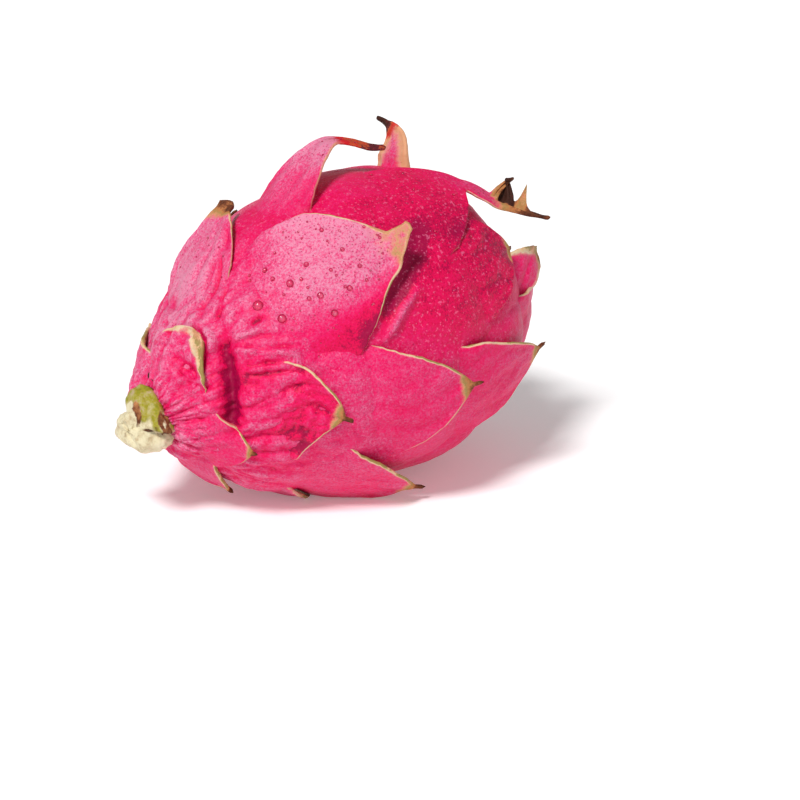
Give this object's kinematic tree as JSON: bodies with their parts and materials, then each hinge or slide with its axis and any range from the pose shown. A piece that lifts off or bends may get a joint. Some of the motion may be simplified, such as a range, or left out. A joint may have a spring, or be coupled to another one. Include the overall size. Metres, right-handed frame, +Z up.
{
  "type": "dragon fruit",
  "caption": "Whole red dragon fruit lying on its side, with overlapping leafy scales, a ribbed stem stub and a withered flower base.",
  "frame": {"origin": "middle of the small flat spot that the fruit lies on, at the surface", "axes": "+Z up; +X level, under the fruit's long axis, from the stem end to the flower end"},
  "size_m": [0.1224, 0.0908, 0.0874],
  "materials": {
    "peel": "waxy, slightly glossy pink peel",
    "stem": "matt green and cream cactus skin",
    "dry_flower": "matt, dry and dark"
  },
  "bodies": {
    "root": {"fruit": "peel", "stem_stub": "stem", "flower_remnant": "dry_flower"}
  },
  "joints": []
}
